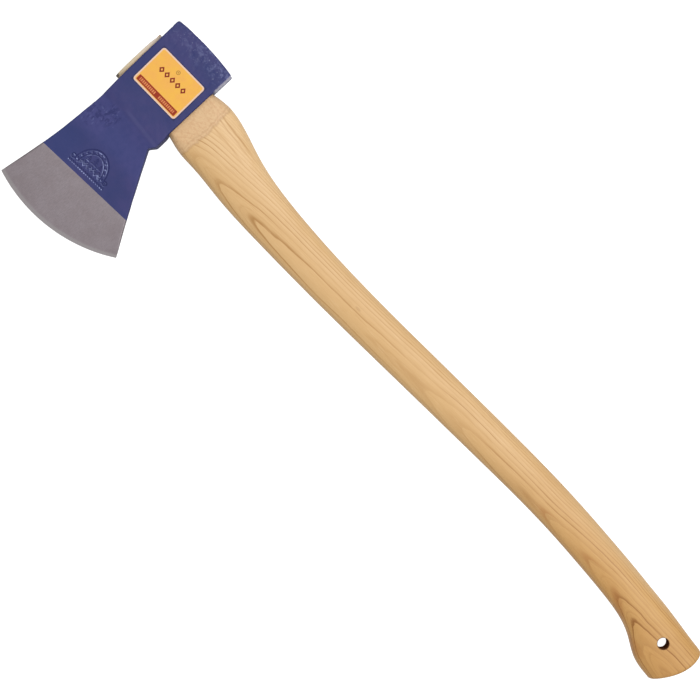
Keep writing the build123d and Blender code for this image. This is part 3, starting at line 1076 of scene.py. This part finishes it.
def haft_tones(m):
    grip = m.x.ramp(0, 320)
    return (
        m.mix(grip, srgb(246, 208, 157), srgb(227, 180, 114)),
        m.mix(grip, srgb(226, 182, 122), srgb(207, 154, 86)),
        m.mix(grip, srgb(176, 124, 60), srgb(152, 95, 36)),
    )


def haft_calm(m):
    """Fainter lines on the poll's side of the shoulder, and stronger ones in the knob."""
    past = m.x - BOTTOM_X
    shoulder = m.y.ramp(50, 58, 0.0, 0.85) * past.ramp(54.4, 84.4, -1.0, 0.0)
    return 1.0 + shoulder + past.ramp(529.4, 579.4, 0.0, 0.35)


def grain_marks(m):
    """Single lines across the shoulder, darker patches and flame tips in the grip, and a paler upper edge."""
    past = m.x - BOTTOM_X
    upper = m.z.ramp(HALF, HALF + 2)
    sway = (m.noise(14, 2, stretch=(2, 1, 1), shift=51) - 0.5) * 4.0
    for across, strength in STRIPES:
        stripe = (m.y - across + (past - 19.4) * 0.085 + sway).abs().fall(0.2, 1.2)
        m.coat(stripe * past.ramp(44.4, 74.4, strength, 0.0) * upper, srgb(176, 124, 60))
    brown = srgb(178, 112, 52)
    for x, y, length, width, slope in HEARTS:
        heart = ((past - x) / length) ** 2.0 + ((m.y - y + (past - x) * slope) / width) ** 2.0
        m.coat(heart.ramp(0.0, 1.2, 0.4, 0.0), brown)
    for x, y in FLAMES:
        off = (m.y - y).abs()
        before = off * off * 0.9 + x - past
        flame = before.ramp(0.0, 1.5) * before.fall(1.5, 16.0) * off.fall(1.5, 5.5)
        m.coat(flame * 0.4, brown)
    knot = ((past - 218.6) / 3.2) ** 2.0 + ((m.y - 44.6) / 1.0) ** 2.0
    m.coat(knot.ramp(0.4, 1.4, 0.25, 0.0) * upper, srgb(150, 104, 60))
    m.coat(m.y.ramp(57, 66, 0.0, 0.45) * m.x.ramp(120, 250), srgb(240, 206, 160))


def sanded_shoulder(m):
    """Pale mottled end grain next to the head, up to a wavy border; returns its roughness."""
    mottle = m.noise(2.4, 3, shift=31, roughness=0.7)
    wave = (m.noise(7, 3, shift=35, roughness=0.6) - 0.5) * 6.0
    border = m.x - (BOTTOM_X + 22.5) + wave + (m.y - EYE_Y).abs() * 0.1
    facet = border.fall(-0.8, 0.8)
    m.coat(facet * 0.7, srgb(236, 198, 154))
    m.coat(facet * mottle.ramp(0.45, 0.62, 0.0, 0.4), srgb(214, 164, 118))
    rim = border.abs().fall(0.2, 1.9).max((border + 3.2).abs().ramp(0.2, 1.3, 0.7, 0.0))
    m.coat(rim * 0.28, srgb(170, 130, 86))
    return facet * mottle


def haft_wood():
    m, fibre, line = wood("haft_wood", haft_tones, haft_years, haft_calm)
    grain_marks(m)
    rough_grain = sanded_shoulder(m)
    # painted light: the haft's end above the head is made pale, whiter towards the poll's side
    top_end = m.x.fall(HANDLE_TOP_X + 2.0, TOP_X + 1.0)
    m.coat(top_end * 0.8, m.mix(m.y.ramp(45, 75), srgb(222, 207, 176), srgb(228, 216, 203)))
    # painted shade at the front corner of the haft's end, the side facing away from the light
    end_corner_shade = ((m.x - HANDLE_TOP_X) ** 2.0 + (m.y - (EYE_Y - EYE_LENGTH / 2)) ** 2.0).sqrt()
    m.coat(end_corner_shade.ramp(2.2, 4.2, 0.85, 0.0), srgb(60, 45, 35))
    # painted shade on the rounded lip going down into the hang hole
    from_hole = ((m.x - HOLE[0]) ** 2.0 + (m.y - HOLE[1]) ** 2.0).sqrt()
    m.coat(from_hole.ramp(HOLE_RADIUS + 0.1, HOLE_RADIUS + 0.8, 0.8, 0.0), srgb(90, 52, 30))
    m.set("Roughness", fibre.ramp(0.3, 0.7, 0.42, 0.56))
    m.bump(fibre, 0.03)
    m.bump(line, -0.03)
    m.bump(rough_grain, 0.12)
    return m.done()


def hole_wood():
    m = Paint("drilled_wood", Roughness=0.95, Specular_IOR_Level=0.0)
    fibre = m.noise(0.5, 3, stretch=(1, 1, 12))
    # darker brown than the haft: partly the rough drilled grain, partly painted shade inside the hole
    m.shade = m.mix(fibre.ramp(0.3, 0.7), srgb(124, 74, 46), srgb(164, 104, 66))
    m.bump(fibre, 0.03)
    return m.done()


def wedge_wood():
    m, fibre, _ = wood(
        "wedge_wood",
        tones=lambda m: (srgb(222, 180, 128), srgb(196, 148, 98), srgb(150, 104, 62)),
        rings=lambda m: ((m.y * 0.3 + m.z) / 1.6, m.y * 0.0),
        calm=lambda m: 1.0,
    )
    m.bump(fibre, 0.03)
    return m.done()


def label_print():
    m = Paint("label_print", Roughness=0.3, Specular_IOR_Level=0.15)
    a, b = m.on_label()

    def box_distance(u, v, half_u, half_v, corner):
        du = (u.abs() - (half_u - corner)).max(0.0)
        dv = (v.abs() - (half_v - corner)).max(0.0)
        return (du * du + dv * dv).sqrt() - corner

    def solid(distance, soft=0.12):
        return distance.fall(-soft, soft)

    field = solid(box_distance(a, b, 23.7, 17.7, 1.6))
    strip = solid(box_distance(a, b + 14.3, 22.6, 2.7, 0.8))
    dash_row = solid(((a / 1.9).fract() - 0.5).abs() - 0.3, 0.06)
    groups = solid((a.abs() - 11.2).abs() - 9.0)
    dashes = dash_row * groups * solid((b + 14.3).abs() - 1.35)
    step = ((a + 15.8) / 6.4).fract() * 6.4 - 3.2
    rhomb = step.abs() * 0.754 + (b - 4.0).abs() * 0.657 - 2.036
    rhombs = solid((rhomb + 0.62).abs() - 0.62, 0.12) * solid((a - 0.2).abs() - 15.9)
    from_ring = ((a + 0.8) * (a + 0.8) + (b - 12.0) * (b - 12.0)).sqrt()
    ring = solid((from_ring - 1.6).abs() - 0.3).max(solid(from_ring - 0.6))
    m.shade = m.mix(m.noise(9, 2).ramp(0.3, 0.7), srgb(254, 193, 80), srgb(252, 186, 88))
    m.coat(rhombs, srgb(140, 34, 8))
    m.coat(ring * 0.8, srgb(140, 105, 50))
    m.coat(strip, srgb(160, 48, 6))
    m.coat(dashes, srgb(232, 142, 84))
    m.shade = m.mix(field, srgb(244, 208, 184), m.shade)
    m.bump(m.noise(4, 2), 0.02)
    return m.done()


def set_material(obj, *materials):
    obj.data.materials.clear()
    for material in materials:
        obj.data.materials.append(material)


def dress(node, material):
    """Gives a CAD node that stays visible its detailed material."""
    for slot in frame["nodes"][node].material_slots:
        slot.material = material


# ---------------- the pieces
head = build_head()
for material in (blue_paint(), ground_steel()):
    head.data.materials.append(material)
# The eye: (X, how much wider than the handle), opening out at both ends.
EYE_RINGS = [
    (TOP_X - 4, 0.9),
    (TOP_X - 1.2, 0.9),
    (TOP_X - 0.5, 0.45),
    (TOP_X + 0.1, 0.08),
    (BOTTOM_X - 0.6, 0.08),
    (BOTTOM_X, 0.3),
    (BOTTOM_X + 5, 0.3),
]
cut(head, tube("eye", [eye_ring(x, grow) for x, grow in EYE_RINGS]), 38)
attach(head, "root")
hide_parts("axe_head")

handle = build_handle()
for cutter in (hole_cutter(), kerf_cutter(), groove_cutter()):
    cut(handle, cutter, 40)
set_material(handle, haft_wood(), hole_wood())
for face in handle.data.polygons:
    gap = math.hypot(face.center.x / MM - HOLE[0], face.center.y / MM - HOLE[1])
    face.material_index = int(gap < HOLE_RADIUS + 0.05)
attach(handle, "root")
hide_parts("handle")

label = build_label()
set_material(label, label_print())
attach(label, "root")
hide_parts("head_label")

dress("wooden_wedge", wedge_wood())
dress("steel_ring_wedge", ground_steel("ring_steel"))

# ---------------- floor, light and camera


def build_floor():
    """Plain pale floor, just under the axe."""
    mesh = bpy.data.meshes.new("floor")
    mesh.from_pydata([(-6, -6, 0), (6, -6, 0), (6, 6, 0), (-6, 6, 0)], [], [(0, 1, 2, 3)])
    floor = bpy.data.objects.new("floor", mesh)
    bpy.context.collection.objects.link(floor)
    material = bpy.data.materials.new("pale_floor")
    material.use_nodes = True
    tree = material.node_tree
    feed(tree, tree.nodes["Principled BSDF"], {
        "Base Color": (0.2, 0.2, 0.2, 1),
        "Roughness": 0.9,
        "Emission Color": (1, 1, 1, 1),
        "Emission Strength": 1.0,
    })
    floor.data.materials.append(material)
    floor.location.z = -0.0005


def add_area(name, place, aim, size, energy):
    """Rectangular area light at place, facing aim."""
    light = bpy.data.lights.new(name, "AREA")
    light.shape = "RECTANGLE"
    light.size, light.size_y = size
    light.energy = energy
    obj = bpy.data.objects.new(name, light)
    obj.location = place
    obj.rotation_euler = (Vector(aim) - Vector(place)).to_track_quat("-Z", "Y").to_euler()
    bpy.context.collection.objects.link(obj)


def build_sky():
    """Soft light from all round, brighter towards the top."""
    world = bpy.data.worlds.new("studio")
    bpy.context.scene.world = world
    world.use_nodes = True
    sky = world.node_tree
    direction = sky.nodes.new("ShaderNodeTexCoord")
    split = sky.nodes.new("ShaderNodeSeparateXYZ")
    sky.links.new(direction.outputs["Generated"], split.inputs[0])
    brightness = Value(sky, split.outputs[2]).ramp(0.0, 0.9, 0.15, 1.75)
    feed(sky, sky.nodes["Background"], {"Color": brightness})


build_floor()
build_sky()
add_area("key", (0.25, 0.8, 1.9), (-0.05, 0.02, 0), (1.0, 1.0), 36)

camera_data = bpy.data.cameras.new("camera")
camera = bpy.data.objects.new("camera", camera_data)
bpy.context.collection.objects.link(camera)
CAMERA_HEIGHT = 2.65
FRAME_WIDTH = 0.5985
camera.location = (-0.04, 0.0157, CAMERA_HEIGHT + HALF * MM)
camera.rotation_euler = (0, 0, math.radians(47))
camera_data.sensor_width = 36
camera_data.lens = 36 * CAMERA_HEIGHT / FRAME_WIDTH
bpy.context.scene.camera = camera
bpy.context.scene.view_settings.view_transform = "Standard"
